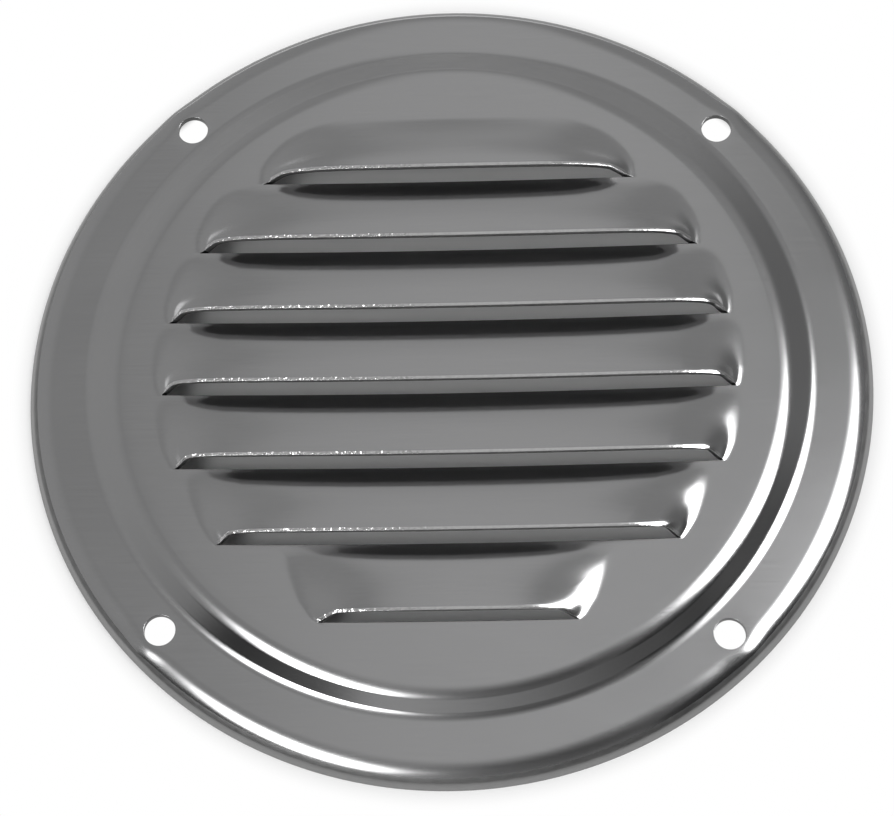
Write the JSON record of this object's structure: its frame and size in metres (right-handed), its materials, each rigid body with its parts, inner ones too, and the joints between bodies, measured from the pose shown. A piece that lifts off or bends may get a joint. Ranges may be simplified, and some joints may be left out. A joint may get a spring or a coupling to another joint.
{
  "type": "round vent cover",
  "caption": "Round pressed-sheet vent cover: flat screw flange with a turned rim, a raised panel and rows of louvres that shed water and let air through.",
  "frame": {"origin": "centre of the rim, in the plane that lies on the wall", "axes": "+Z out of the wall, -Y towards the open sides of the louvres, +X along the louvres"},
  "size_m": [0.127, 0.127, 0.0085],
  "materials": {
    "stainless_steel": "bright satin stainless sheet, fine rolled grain, sheared louvre edges"
  },
  "bodies": {
    "root": {"vent_cover": "stainless_steel"}
  },
  "joints": []
}
